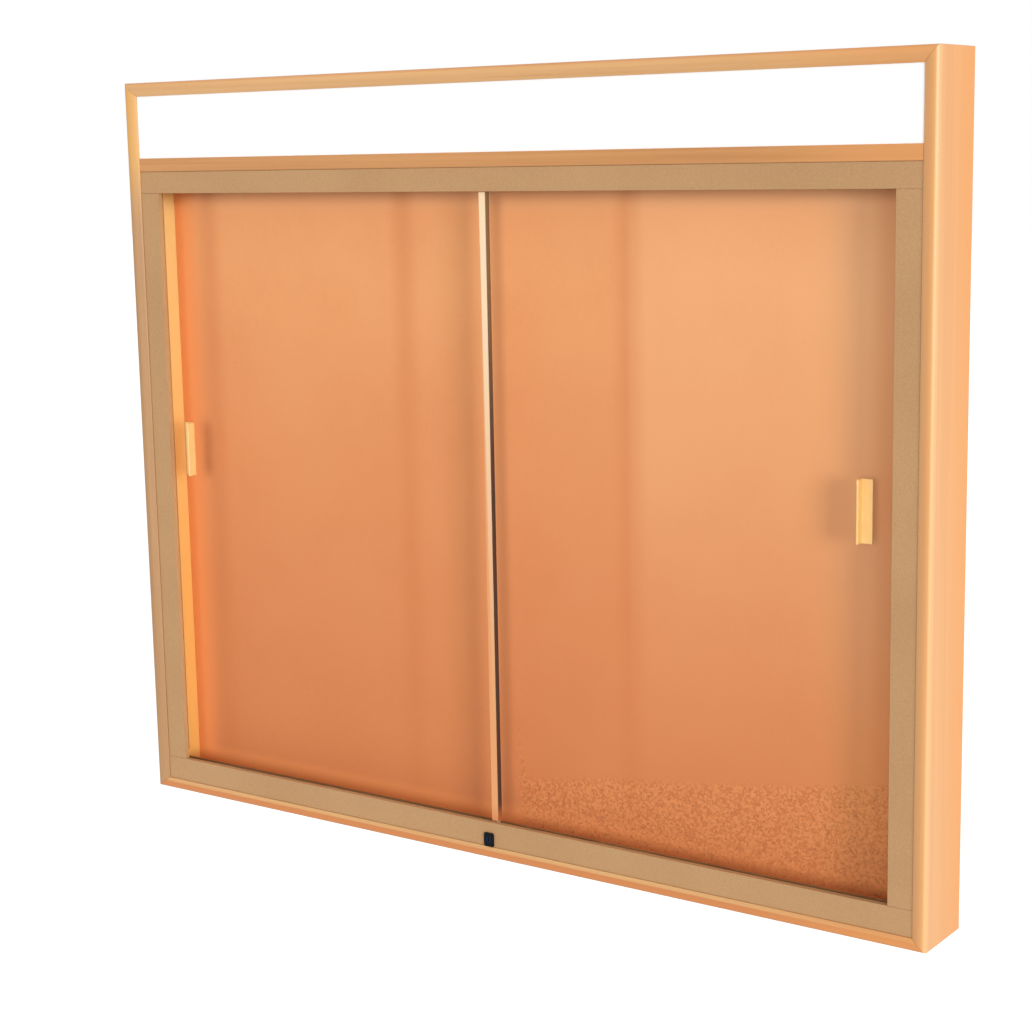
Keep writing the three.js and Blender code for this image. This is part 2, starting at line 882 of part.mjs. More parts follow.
// Edge trim and rubber strip on the front door's meeting edge
const trimInner = glassThickness * half + seat;
const trimOuter = trimInner + trimWall;
const trimRight = leftGlassRight + seat + trimWall;
const trimOutline = [
  [trimRight, frontGlassMiddle - trimOuter],
  [trimRight, frontGlassMiddle + trimOuter],
  [trimRight - trimWidth, frontGlassMiddle + trimOuter],
  [trimRight - trimWidth, frontGlassMiddle + trimInner],
  [trimRight - trimWall, frontGlassMiddle + trimInner],
  [trimRight - trimWall, frontGlassMiddle - trimInner],
  [trimRight - trimWidth, frontGlassMiddle - trimInner],
  [trimRight - trimWidth, frontGlassMiddle - trimOuter],
];
const trimRise = [bottomTrackTop + trimWall, topTrackBottom - trimWall];
piece(leftDoor, "left_edge_trim", barAlongZ(trimOutline, trimRise), paint(0xf0e2cc, 0.45));
piece(
  leftDoor,
  "left_edge_seal",
  box(
    [trimRight + seat, trimRight + seat + edgeSealWidth],
    [frontGlassMiddle - trimInner, frontGlassMiddle + trimInner],
    trimRise,
  ),
  paint(0x30261e, 0.85),
);

// Cam lock in the bottom track: body, spring clip, key plug, cam with drive pin, and the fork bolt
const lockGroup = new THREE.Group();
board.add(lockGroup);

const lockFront = trackFront - seat - lockFaceDepth;
const grooveFront = trackFront + trackWall + seat - running;
const grooveRear = grooveFront + clipThickness + running + running;
const plugBore = plugRadius + running;
const barrelPoints = [
  [0, trackFront - seat - lockFaceDepth * half],
  [lockBarrelRadius, trackFront - seat - lockFaceDepth * half],
  [lockBarrelRadius, grooveFront],
  [lockGrooveRadius, grooveFront],
  [lockGrooveRadius, grooveRear],
  [lockBarrelRadius, grooveRear],
  [lockBarrelRadius, lockRear],
  [0, lockRear],
];
const bodyBlank = join([
  roundedPlate(lockFaceWidth, lockFaceHeight, lockFaceRound, lockFaceDepth).translate(
    lockX,
    trackFront - seat,
    lockZ,
  ),
  turned(barrelPoints, lockX, lockZ),
]);
const bore = rod(plugBore, wide([lockFront, lockRear], seat), lockX, lockZ);
piece(lockGroup, "lock_body", cut(bodyBlank, [bore]), paint(0x141c28, 0.35, 0.6));

const clipY = [grooveFront + running, grooveFront + running + clipThickness];
const clipRing = turned(
  [
    [lockGrooveRadius + running, clipY[0]],
    [clipOuterRadius, clipY[0]],
    [clipOuterRadius, clipY[1]],
    [lockGrooveRadius + running, clipY[1]],
    [lockGrooveRadius + running, clipY[0]],
  ],
  lockX,
  lockZ,
);
const clipGap = box(
  [lockX - clipMouth * half, lockX + clipMouth * half],
  wide(clipY, seat),
  [lockZ, lockZ + clipOuterRadius + seat],
);
piece(lockGroup, "lock_clip", cut(clipRing, [clipGap]), paint(steelTone, 0.35, 0.9));

const plugFront = lockFront + seat;
const camY = [lockRear + seat, lockRear + seat + camThickness];
const plugBlank = join([
  rod(plugRadius, [plugFront, lockRear], lockX, lockZ),
  box(
    [lockX - plugTail * half, lockX + plugTail * half],
    [lockRear - camThickness, camY[1]],
    [lockZ - plugTail * half, lockZ + plugTail * half],
  ),
]);
const keyway = box(
  [lockX - keywayWidth * half, lockX + keywayWidth * half],
  [plugFront - seat, plugFront + keywayDepth],
  [lockZ - keywayHeight * half, lockZ + keywayHeight * half],
);
piece(lockGroup, "lock_plug", cut(plugBlank, [keyway]), paint(0x2a3340, 0.3, 0.7));

const arm = box([0, camThrow], camY, [-camArmWidth * half, camArmWidth * half]);
arm.rotateY(quarter * half).translate(lockX, 0, lockZ);
const camBlank = join([
  rod(camHubRadius, camY, lockX, lockZ),
  arm,
  rod(camEndRadius, camY, pinRestX, pinRestZ),
  rod(drivePinRadius, [camY[0] + seat, camY[1] + drivePinLength], pinRestX, pinRestZ),
]);
const tailRoom = plugTail * half + running;
const camHole = box(
  [lockX - tailRoom, lockX + tailRoom],
  wide(camY, seat),
  [lockZ - tailRoom, lockZ + tailRoom],
);
piece(lockGroup, "lock_cam", cut(camBlank, [camHole]), paint(steelTone, 0.35, 0.9));

const barZ = [boltBarBottom, boltBarBottom + boltBarHeight];
const prong = (middle) =>
  box(
    boltX,
    [middle - ribWidth * half, middle + ribWidth * half],
    [boltBarBottom, baseTop + ribHeight],
  );
const foot = box(
  [Math.min(boltX[0], tabX[0]), Math.max(boltX[1], tabX[1])],
  [tabY[0], frontGlassMiddle - ribWidth * half],
  barZ,
);
const boltBlank = join([
  box(boltX, [tabY[0], prongRear], barZ),
  foot,
  box(tabX, tabY, [boltBarBottom, boltTabTop]),
  prong(frontGlassMiddle),
  prong(rearGlassMiddle),
]);
const pinRoom = drivePinRadius + sliding;
const pinSlot = box(
  [slotStartX, slotEndX],
  wide(tabY, seat),
  [pinRestZ - pinRoom, pinRestZ + pinRoom],
);
piece(lockGroup, "lock_bolt", cut(boltBlank, [pinSlot]), paint(steelTone, 0.35, 0.9));

export default board;
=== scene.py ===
import json
import math

import bmesh
import bpy
from mathutils import Matrix, Vector

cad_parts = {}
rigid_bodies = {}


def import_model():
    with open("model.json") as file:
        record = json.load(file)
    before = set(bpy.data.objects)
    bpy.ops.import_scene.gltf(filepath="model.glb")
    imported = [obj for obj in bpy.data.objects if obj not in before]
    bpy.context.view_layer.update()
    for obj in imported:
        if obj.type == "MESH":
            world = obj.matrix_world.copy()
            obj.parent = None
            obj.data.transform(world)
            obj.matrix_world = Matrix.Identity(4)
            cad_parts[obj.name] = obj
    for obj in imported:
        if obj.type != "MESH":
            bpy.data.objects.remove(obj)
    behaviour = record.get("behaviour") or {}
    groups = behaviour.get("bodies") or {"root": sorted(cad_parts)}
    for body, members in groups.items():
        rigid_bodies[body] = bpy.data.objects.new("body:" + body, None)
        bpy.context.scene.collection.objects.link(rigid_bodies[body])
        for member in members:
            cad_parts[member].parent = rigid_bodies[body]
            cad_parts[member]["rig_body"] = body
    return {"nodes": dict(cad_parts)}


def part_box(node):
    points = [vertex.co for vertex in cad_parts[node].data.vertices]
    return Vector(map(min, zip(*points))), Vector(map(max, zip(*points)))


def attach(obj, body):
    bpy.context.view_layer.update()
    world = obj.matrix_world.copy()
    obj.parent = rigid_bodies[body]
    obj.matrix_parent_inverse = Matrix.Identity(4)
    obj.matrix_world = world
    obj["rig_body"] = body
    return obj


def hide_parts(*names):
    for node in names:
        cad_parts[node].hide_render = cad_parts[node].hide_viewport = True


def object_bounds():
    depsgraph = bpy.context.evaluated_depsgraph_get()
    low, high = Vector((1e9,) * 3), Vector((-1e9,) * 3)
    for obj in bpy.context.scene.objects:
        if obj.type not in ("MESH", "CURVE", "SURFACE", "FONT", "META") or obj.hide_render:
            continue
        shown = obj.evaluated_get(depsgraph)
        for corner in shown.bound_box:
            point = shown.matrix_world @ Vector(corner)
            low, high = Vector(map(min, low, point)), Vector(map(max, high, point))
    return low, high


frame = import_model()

cad_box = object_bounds()
nodes = frame["nodes"]
MM = 0.001


# View and studio
# The case is shown against white, its underside 1.1 m above a pale floor. The camera stands to
# the right and a little above, 2.7 m off, and leans a degree, as the photograph does.
CAMERA_PLACE = Vector((1.533868, -2.180134, 0.403401))
CAMERA_AZIMUTH = math.radians(35.4739)
CAMERA_ELEVATION = math.radians(9.99074)
CAMERA_LEAN = math.radians(-1.11879)
CAMERA_LENS = 72.045
CAMERA_SENSOR = 36
FLOOR_HEIGHT = -1.6
FLOOR_HALF = 40
FLOOR_PAINT = (0.8, 0.8, 0.8, 1)
FLOOR_GLOW = 0.62
WORLD_LIGHT = 0.45
PAPER_WHITE = (1, 1, 1, 1)
# the Mix node's sockets for colours, which share their names with those for numbers
MIX_LOW = 6
MIX_HIGH = 7
MIX_RESULT = 2


def way_to(azimuth, elevation):
    """The direction from the case to something at these angles; azimuth 0 is straight in front."""
    flat = math.cos(elevation)
    return Vector((math.sin(azimuth) * flat, -math.cos(azimuth) * flat, math.sin(elevation)))


def collect(thing):
    bpy.context.scene.collection.objects.link(thing)
    return thing


back = way_to(CAMERA_AZIMUTH, CAMERA_ELEVATION)
level_right = (-back).cross(Vector((0, 0, 1))).normalized()
level_up = level_right.cross(-back)
right = level_right * math.cos(CAMERA_LEAN) + level_up * math.sin(CAMERA_LEAN)
up = level_up * math.cos(CAMERA_LEAN) - level_right * math.sin(CAMERA_LEAN)
lens = bpy.data.cameras.new("camera")
lens.sensor_width = CAMERA_SENSOR
lens.lens = CAMERA_LENS
camera = collect(bpy.data.objects.new("camera", lens))
turn = Matrix((right, up, back)).transposed()
camera.matrix_world = Matrix.Translation(CAMERA_PLACE) @ turn.to_4x4()
bpy.context.scene.camera = camera
bpy.context.scene.view_settings.view_transform = "Standard"


class Flow:
    """An output of a node in a material. Sums on it add Math nodes; node() adds any other kind."""

    def __init__(self, tree, socket=None):
        self.tree = tree
        self.socket = socket

    def node(self, kind, settings=None, inputs=None, out=0):
        made = self.tree.nodes.new("ShaderNode" + kind)
        for name, value in (settings or {}).items():
            if name == "stops":
                ramp = made.color_ramp
                while len(ramp.elements) < len(value):
                    ramp.elements.new(1)
                for element, (place, colour) in zip(ramp.elements, value):
                    element.position = place
                    element.color = colour
            else:
                setattr(made, name, value)
        for name, value in (inputs or {}).items():
            if isinstance(value, Flow):
                self.tree.links.new(value.socket, made.inputs[name])
            else:
                made.inputs[name].default_value = value
        return Flow(self.tree, made.outputs[out] if made.outputs else None)

    def maths(self, operation, *values):
        return self.node("Math", {"operation": operation}, dict(enumerate(values)))

    def __add__(self, other):
        return self.maths("ADD", self, other)

    def __radd__(self, other):
        return self.maths("ADD", other, self)

    def __sub__(self, other):
        return self.maths("SUBTRACT", self, other)

    def __rsub__(self, other):
        return self.maths("SUBTRACT", other, self)

    def __mul__(self, other):
        return self.maths("MULTIPLY", self, other)

    def __rmul__(self, other):
        return self.maths("MULTIPLY", other, self)

    def __abs__(self):
        return self.maths("ABSOLUTE", self)

    def between(self, low, high):
        """0 below low, 1 above high, and smooth between them; low may be the larger."""
        return self.node(
            "MapRange",
            {"interpolation_type": "SMOOTHSTEP"},
            {"Value": self, "From Min": low, "From Max": high},
        )

    def mix(self, low, high):
        """A colour that goes from low to high as this value goes from 0 to 1."""
        colours = {MIX_LOW: low, MIX_HIGH: high}
        return self.node("Mix", {"data_type": "RGBA"}, {"Factor": self} | colours, MIX_RESULT)

    def span(self, low, high):
        """A number that goes from low to high as this value goes from 0 to 1."""
        return low + self * (high - low)


def new_finish(name):
    made = bpy.data.materials.new(name)
    made.use_nodes = True
    made.node_tree.nodes.clear()
    return made, Flow(made.node_tree)


def show(start, shader):
    start.node("OutputMaterial", inputs={"Surface": shader})


def blend(start, share, first, second):
    """A shader that goes from first to second as share goes from 0 to 1."""
    return start.node("MixShader", inputs={0: share, 1: first, 2: second})


def seen_directly(start):
    """1 for what the camera, a mirror or a pane sees, and 0 for light on its way."""
    camera_ray = start.node("LightPath", out="Is Camera Ray")
    glossy_ray = start.node("LightPath", out="Is Glossy Ray")
    through_ray = start.node("LightPath", out="Is Transmission Ray")
    return start.node("Clamp", inputs={"Value": camera_ray + glossy_ray + through_ray})


world = bpy.data.worlds.new("studio")
world.use_nodes = True
world.node_tree.nodes.clear()
start = Flow(world.node_tree)
white = start.node("Background", inputs={"Color": PAPER_WHITE, "Strength": 1})
soft = start.node("Background", inputs={"Color": PAPER_WHITE, "Strength": WORLD_LIGHT})
start.node("OutputWorld", inputs={"Surface": blend(start, seen_directly(start), soft, white)})
bpy.context.scene.world = world

floor_mesh = bpy.data.meshes.new("floor")
corners = [(-1, -1), (1, -1), (1, 1), (-1, 1)]
floor_mesh.from_pydata(
    [(x * FLOOR_HALF, y * FLOOR_HALF, FLOOR_HEIGHT) for x, y in corners], [], [(0, 1, 2, 3)]
)
floor = collect(bpy.data.objects.new("floor", floor_mesh))
floor_finish, start = new_finish("pale_floor")
matt = start.node("BsdfDiffuse", inputs={"Color": FLOOR_PAINT})
lit = start.node("Emission", inputs={"Color": PAPER_WHITE, "Strength": FLOOR_GLOW})
bright = start.node("AddShader", inputs={0: matt, 1: lit})
show(start, blend(start, seen_directly(start), matt, bright))
floor_mesh.materials.append(floor_finish)


def far_lamp(name, azimuth, elevation, spread, strength):
    """A lamp so far off that it lights the whole case alike; spread is how wide it looks."""
    data = bpy.data.lights.new(name, "SUN")
    data.energy = strength
    data.angle = math.radians(spread)
    thing = collect(bpy.data.objects.new(name, data))
    way = way_to(math.radians(azimuth), math.radians(elevation))
    thing.matrix_world = way.to_track_quat("Z", "Y").to_matrix().to_4x4()


far_lamp("front_lamp", azimuth=20, elevation=8, spread=18, strength=0.98)
far_lamp("side_lamp", azimuth=57, elevation=7, spread=18, strength=1.70)
far_lamp("right_lamp", azimuth=98, elevation=5, spread=30, strength=0.62)
far_lamp("high_lamp", azimuth=30, elevation=60, spread=40, strength=0.2)


# Case boards
# Four mitred boards of a pale hardwood, 18.5 mm thick, with a rounded outer arris and a bevel
# towards the opening. A divider of the same wood is butted between them under the header.
_, CASE_FRONT, CASE_BOTTOM = cad_box[0]
CASE_RIGHT, CASE_BACK, CASE_TOP = cad_box[1]
WARM_WOOD = ((0.70, 0.310, 0.098, 1), (0.76, 0.360, 0.120, 1), (0.80, 0.395, 0.140, 1))
PALE_WOOD = ((0.58, 0.278, 0.096, 1), (0.684, 0.370, 0.144, 1), (0.75, 0.431, 0.184, 1))
GOLDEN_WOOD = ((0.50, 0.215, 0.062, 1), (0.60, 0.280, 0.095, 1), (0.66, 0.330, 0.125, 1))
# the left side board's tones are darker, as painted shade
LEFT_SHADE_WOOD = ((0.35, 0.172, 0.063, 1), (0.415, 0.220, 0.090, 1), (0.48, 0.262, 0.115, 1))
DUSKY_TOP = (0.636, 0.330, 0.090, 1)
# painted shade on the lower front and the top edge of level boards
SHADED_EDGE_WOOD = (0.59, 0.198, 0.051, 1)
AGED_WOOD = (0.77, 0.300, 0.052, 1)
RED_END = (0.72, 0.300, 0.085, 1)
# a painted highlight on the right side's outer corner
ARRIS_HIGHLIGHT_WOOD = (0.84, 0.500, 0.235, 1)
# painted light on the inside faces, and painted shade lower down on them
LIT_INSIDE_WOOD = (0.99, 0.72, 0.290, 1)
SHADED_WOOD = (0.99, 0.58, 0.165, 1)
WOOD_ROUGHNESS = (0.34, 0.54)
WOOD_RELIEF = (0.35, 0.05 * MM)
LACQUER = {"Coat Weight": 0.25, "Coat Roughness": 0.22}
# how much the figure, the rings and the fibres say in the tone, and how dark the pores are
FIGURE_SHARE = 0.55
RINGS_SHARE = 0.3
FIBRE_SHARE = 0.15
PORE_SHARE = 0.35
TONE_STOPS = (0.36, 0.52, 0.68)
PORE_RUN = (0.68, 0.76)
# where the wood's tone changes, and where painted light and shade lie, from the faces of the case:
# each run goes from none to full
LOW_EDGE = (CASE_BOTTOM + 10.5 * MM, CASE_BOTTOM + 8.5 * MM)
HIGH_EDGE = (CASE_TOP - 4.5 * MM, CASE_TOP - 1.5 * MM)
TOWARDS_WALL = (CASE_FRONT + 7 * MM, CASE_BACK + 15 * MM)
RIGHT_ARRIS = (CASE_RIGHT - 5 * MM, CASE_RIGHT - 2 * MM)
FRONT_ARRIS = (CASE_FRONT + 11 * MM, CASE_FRONT + 5.5 * MM)
PAST_INSIDE = (CASE_RIGHT - 18 * MM, CASE_RIGHT - 17 * MM)
UNDER_TOP = (CASE_TOP - 17.5 * MM, CASE_TOP - 18 * MM)
ABOVE_BOTTOM = (CASE_BOTTOM + 12 * MM, CASE_BOTTOM + 13 * MM)
BEHIND_GLASS = (CASE_FRONT + 44 * MM, CASE_FRONT + 46 * MM)
# the same from the middle of the case, sideways and upwards
TOWARDS_RIGHT = (0, 0.6)
RED_RUN = (0.35, 0.58)
BESIDE_HEADER = (0.30, 0.43)
OUT_OF_SHADE = (-0.3, 0.35)
LOW_EDGE_SHARE = 0.9
HIGH_EDGE_SHARE = 0.5
RED_SHARE = 0.6
ARRIS_HIGHLIGHT_SHARE = 0.4
BOARD_EASE = 0.12 * MM
WELD_REACH = 0.001 * MM
FLAT_ANGLE = 0.5
CRISP_ANGLE = 40
SEED_STEP = (3.1, 1.7, 2.3)


def eased(node, ease, steps=2):
    """A piece of the node's own shape, its corners welded and its sharp edges rounded by ease."""
    shape = bmesh.new()
    shape.from_mesh(nodes[node].data)
    bmesh.ops.remove_doubles(shape, verts=shape.verts, dist=WELD_REACH)
    bmesh.ops.dissolve_limit(
        shape, angle_limit=math.radians(FLAT_ANGLE), verts=shape.verts, edges=shape.edges
    )
    sharp = [e for e in shape.edges if e.calc_face_angle(0) > math.radians(CRISP_ANGLE)]
    bmesh.ops.bevel(
        shape,
        geom=sharp,
        offset=ease,
        offset_type="OFFSET",
        segments=steps,
        profile=0.5,
        affect="EDGES",
        clamp_overlap=True,
    )
    return settled(shape, node)


def settled(shape, node, crisp=CRISP_ANGLE):
    """The shape as the piece that stands for a node, smooth but for its sharp edges."""
    mesh = bpy.data.meshes.new(node + "_shape")
    shape.to_mesh(mesh)
    shape.free()
    mesh.shade_smooth()
    mesh.set_sharp_from_angle(angle=math.radians(crisp))
    piece = collect(bpy.data.objects.new(node + "_piece", mesh))
    weigh = piece.modifiers.new("flat_faces", "WEIGHTED_NORMAL")
    weigh.keep_sharp = True
    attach(piece, nodes[node]["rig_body"])
    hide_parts(node)
    return piece


def dress(finish, piece):
    piece.data.materials.clear()
    piece.data.materials.append(finish)


def own_place(start):
    """Places in the piece's own space, which is the frame's, in metres."""
    return start.node("TexCoord", out="Object")


def part(place, axis):
    """The x, y or z of a place."""
    return place.node("SeparateXYZ", inputs={"Vector": place}, out=axis.upper())


def stretched(start, along, across, lengthwise, seed):
    """Places squeezed so that a pattern runs long in one direction; each seed has its own."""
    scale = {axis: across for axis in "xyz"} | {along: lengthwise}
    return start.node(
        "Mapping",
        inputs={
            "Vector": own_place(start),
            "Location": [seed * step for step in SEED_STEP],
            "Scale": [scale[axis] for axis in "xyz"],
        },
    )


def noise(place, scale=1, **more):
    """Noise from 0 to 1 over these places, with scale features to a metre of them."""
    return place.node("TexNoise", inputs={"Vector": place, "Scale": scale} | more)


def surface(start, colour, roughness, bumps=None, more=None):
    """A glossy surface; bumps are a height and then the strength and depth of its relief."""
    inputs = {"Base Color": colour, "Roughness": roughness} | (more or {})
    if bumps:
        height, strength, depth = bumps
        inputs["Normal"] = start.node(
            "Bump", inputs={"Strength": strength, "Distance": depth, "Height": height}
        )
    return start.node("BsdfPrincipled", inputs=inputs)


def weathered_and_lit(start, colour, along, upper):
    """The colour of a board, with painted light and shade; upper is its tone beside the header, if
    any.
    """
    place = own_place(start)
    x, y, z = (part(place, axis) for axis in "xyz")
    # the wood turns deeper orange towards the back and the right; level boards carry painted shade
    # along the lower front, below the lit bevel, and along the top edge, and turn redder at their
    # right ends
    colour = (y.between(*TOWARDS_WALL) * x.between(*TOWARDS_RIGHT)).mix(colour, AGED_WOOD)
    if along == "x":
        # painted shade along the lower front and the top edge
        edge_shade = z.between(*LOW_EDGE) * LOW_EDGE_SHARE + z.between(*HIGH_EDGE) * HIGH_EDGE_SHARE
        colour = edge_shade.mix(colour, SHADED_EDGE_WOOD)
        colour = (x.between(*RED_RUN) * RED_SHARE).mix(colour, RED_END)
    if upper:
        colour = z.between(*BESIDE_HEADER).mix(colour, upper)
    # a painted highlight pales the outer corner of the right side; the inside faces are painted
    # lit, in painted shade lower down
    arris_highlight = x.between(*RIGHT_ARRIS) * y.between(*FRONT_ARRIS)
    colour = (arris_highlight * ARRIS_HIGHLIGHT_SHARE).mix(colour, ARRIS_HIGHLIGHT_WOOD)
    # painted light on the inside faces, and painted shade lower down
    lit_inside = (1 - abs(x).between(*PAST_INSIDE)) * y.between(*BEHIND_GLASS)
    lit_inside = lit_inside * z.between(*UNDER_TOP) * z.between(*ABOVE_BOTTOM)
    return lit_inside.mix(colour, z.between(*OUT_OF_SHADE).mix(SHADED_WOOD, LIT_INSIDE_WOOD))


def wood_finish(name, along, seed, tones, upper=None):
    """Lacquered wood with its grain along one axis, in tones from its pores to its palest."""
    made, start = new_finish(name)
    figure_place = stretched(start, along, across=22, lengthwise=0.9, seed=seed)
    rings_place = stretched(start, along, across=150, lengthwise=1.6, seed=seed + 5)
    fibre_place = stretched(start, along, across=1500, lengthwise=22, seed=seed + 9)
    pores_place = stretched(start, along, across=900, lengthwise=45, seed=seed + 13)
    figure = noise(figure_place, Detail=3, Roughness=0.55)
    rings = noise(rings_place, Detail=2, Roughness=0.6, Distortion=0.6)
    fibre = noise(fibre_place, Detail=2, Roughness=0.6)
    pore = noise(pores_place, Detail=1).between(*PORE_RUN)
    tone = figure * FIGURE_SHARE + rings * RINGS_SHARE + fibre * FIBRE_SHARE
    colour = start.node("ValToRGB", {"stops": list(zip(TONE_STOPS, tones))}, {"Fac": tone})
    colour = (pore * PORE_SHARE).mix(colour, tones[0])
    colour = weathered_and_lit(start, colour, along, upper)
    bumps = (fibre - pore, *WOOD_RELIEF)
    show(start, surface(start, colour, fibre.span(*WOOD_ROUGHNESS), bumps, LACQUER))
    return made


boards = [
    # the left side board carries painted shade
    ("left_side_board", "z", LEFT_SHADE_WOOD, DUSKY_TOP),
    ("right_side_board", "z", WARM_WOOD, None),
    ("top_board", "x", PALE_WOOD, None),
    ("bottom_board", "x", PALE_WOOD, None),
    ("header_divider", "x", GOLDEN_WOOD, None),
]
for seed, (node, along, tones, upper) in enumerate(boards):
    dress(wood_finish(node + "_wood", along, seed, tones, upper), eased(node, BOARD_EASE))


# Back board and hanging rail
# A sheet of birch plywood, 9.5 mm thick, is let into a rebate all round the back. Behind the header
# a planed pine rail is glued to it, which carries the weight of the case at the two hangers.
PLY_PALE = (0.64, 0.41, 0.21, 1)
PLY_DEEP = (0.50, 0.29, 0.13, 1)
PLY_PORE = (0.33, 0.17, 0.07, 1)
PLY_ROUGHNESS = (0.62, 0.82)
PLY_RELIEF = (0.4, 0.06 * MM)
PLY_FIGURE_SHARE = 0.8
PLY_FIBRE_SHARE = 0.2
PLY_PORE_SHARE = 0.4
PLY_TONE_RUN = (0.36, 0.66)
PLY_PORE_RUN = (0.66, 0.74)
PINE_TONES = ((0.55, 0.27, 0.09, 1), (0.70, 0.42, 0.17, 1), (0.77, 0.50, 0.24, 1))
PINE_SEED = 31
SHEET_EASE = 0.25 * MM


def plywood_finish():
    made, start = new_finish("birch_plywood")
    figure_place = stretched(start, "x", across=11, lengthwise=1.3, seed=3)
    figure = noise(figure_place, Detail=5, Roughness=0.55, Distortion=1.8)
    fibre = noise(stretched(start, "x", across=1300, lengthwise=26, seed=5), Detail=2)
    pores = noise(stretched(start, "x", across=800, lengthwise=60, seed=8), Detail=1)
    tone = (figure * PLY_FIGURE_SHARE + fibre * PLY_FIBRE_SHARE).between(*PLY_TONE_RUN)
    pore = pores.between(*PLY_PORE_RUN)
    colour = (pore * PLY_PORE_SHARE).mix(tone.mix(PLY_DEEP, PLY_PALE), PLY_PORE)
    bumps = (fibre - pore, *PLY_RELIEF)
    show(start, surface(start, colour, fibre.span(*PLY_ROUGHNESS), bumps))
    return made


dress(plywood_finish(), eased("back_board", SHEET_EASE))
dress(wood_finish("rail_pine", "x", PINE_SEED, PINE_TONES), eased("hanging_rail", BOARD_EASE))


# Keyhole hangers and screws
# Two zinc-plated steel plates sit flush in the back board, their keyholes opening into pockets.
# Countersunk cross-head screws hold them, and hold the door tracks and jambs to the wood.
ZINC = (0.60, 0.62, 0.64, 1)
ZINC_DULL = (0.42, 0.44, 0.45, 1)
ZINC_CLOUDS = 60
PLATED_ROUGHNESS = 0.3
PLATED_RELIEF = (0.25, 0.02 * MM)
CLOUD_ROUGHNESS = 0.12
RUB_ROUGHNESS = 0.1
RUB_FINENESS = 16
# where most of the values of a noise lie
NOISE_RUN = (0.3, 0.7)
PLATE_EASE = 0.12 * MM
SCREW_HEAD = 3.1 * MM
SCREW_RIM = 0.12 * MM
SCREW_SHANK = 1.5 * MM
SCREW_CORE = 1.08 * MM
SCREW_CONE = 1.6 * MM
SCREW_SIDES = 24
SCREW_CRISP_ANGLE = 35
THREAD_PITCH = 1.3 * MM
THREAD_STEP = 0.2 * MM
THREAD_STEEPNESS = 3
TIP_LENGTH = 2.6 * MM
RECESS_REACH = 1.75 * MM
RECESS_DEPTH = 1.3 * MM
RECESS_HALF_WIDTH = 0.42 * MM
RECESS_REACH_SHARE = 0.45
RECESS_WIDTH_SHARE = 0.7
# the way each screw's shank points, by what it holds
SHANK_WAYS = {
    "top_track": (0, 0, 1),
    "bottom_track": (0, 0, -1),
    "left_jamb": (-1, 0, 0),
    "right_jamb": (1, 0, 0),
    "left_hanger": (0, -1, 0),
    "right_hanger": (0, -1, 0),
}


def plated_finish(name, bright, dull, clouds, roughness=PLATED_ROUGHNESS):
    """Plated or anodised metal: cloudy, with fine rubbing marks across it."""
    made, start = new_finish(name)
    cloud = noise(own_place(start), clouds, Detail=4)
    rub = noise(
        stretched(start, "x", across=clouds * RUB_FINENESS, lengthwise=clouds, seed=2)
    )
    colour = cloud.between(*NOISE_RUN).mix(dull, bright)
    rough = roughness + cloud * CLOUD_ROUGHNESS + rub * RUB_ROUGHNESS
    show(start, surface(start, colour, rough, (rub, *PLATED_RELIEF), {"Metallic": 1}))
    return made


def ring(shape, radius_at, height):
    """A ring of points about the Z axis; radius_at gives the radius at each share of a turn."""
    points = []
    for i in range(SCREW_SIDES):
        share = i / SCREW_SIDES
        angle = math.tau * share
        radius = radius_at(share)
        points.append(shape.verts.new((radius * math.cos(angle), radius * math.sin(angle), height)))
    return points


def bridge(shape, low, high):
    """Faces between two closed rings of equally many points."""
    for i in range(len(low)):
        after = (i + 1) % len(low)
        shape.faces.new((low[i], low[after], high[after], high[i]))


def cross_outline(reach, half_width):
    """The twelve corners of a plus sign, anticlockwise."""
    quarter = [(reach, -half_width), (reach, half_width), (half_width, half_width)]
    outline = []
    for turns in range(4):
        c, s = round(math.cos(turns * math.pi / 2)), round(math.sin(turns * math.pi / 2))
        outline += [(x * c - y * s, x * s + y * c) for x, y in quarter]
    return outline


def screw_shape(length):
    """A countersunk screw with its head at z = 0, a cross recess in it, and its shank up +Z."""
    shape = bmesh.new()
    top = ring(shape, lambda share: SCREW_HEAD - SCREW_RIM, 0)
    rings = [top, ring(shape, lambda share: SCREW_HEAD, SCREW_RIM)]
    rings.append(ring(shape, lambda share: SCREW_SHANK, SCREW_CONE))
    for i in range(1, int((length - SCREW_CONE) / THREAD_STEP)):
        height = SCREW_CONE + i * THREAD_STEP
        taper = min(1, (length - height) / TIP_LENGTH)

        def threaded(share):
            phase = (height / THREAD_PITCH + share) % 1
            crest = max(0, 1 - abs(phase - 0.5) * THREAD_STEEPNESS)
            return (SCREW_CORE + (SCREW_SHANK - SCREW_CORE) * crest) * taper

        rings.append(ring(shape, threaded, height))
    for low, high in zip(rings, rings[1:]):
        bridge(shape, low, high)
    shape.faces.new(rings[-1])
    wide = cross_outline(RECESS_REACH, RECESS_HALF_WIDTH)
    narrow = cross_outline(
        RECESS_REACH * RECESS_REACH_SHARE, RECESS_HALF_WIDTH * RECESS_WIDTH_SHARE
    )
    mouth = [shape.verts.new((x, y, 0)) for x, y in wide]
    base = [shape.verts.new((x, y, RECESS_DEPTH)) for x, y in narrow]
    bridge(shape, mouth, base)
    shape.faces.new(base)
    loops = []
    for outline in (top, mouth):
        for pair in zip(outline, outline[1:] + outline[:1]):
            loops.append(shape.edges.get(pair) or shape.edges.new(pair))
    bmesh.ops.triangle_fill(shape, use_beauty=True, edges=loops)
    bmesh.ops.recalc_face_normals(shape, faces=shape.faces)
    return shape


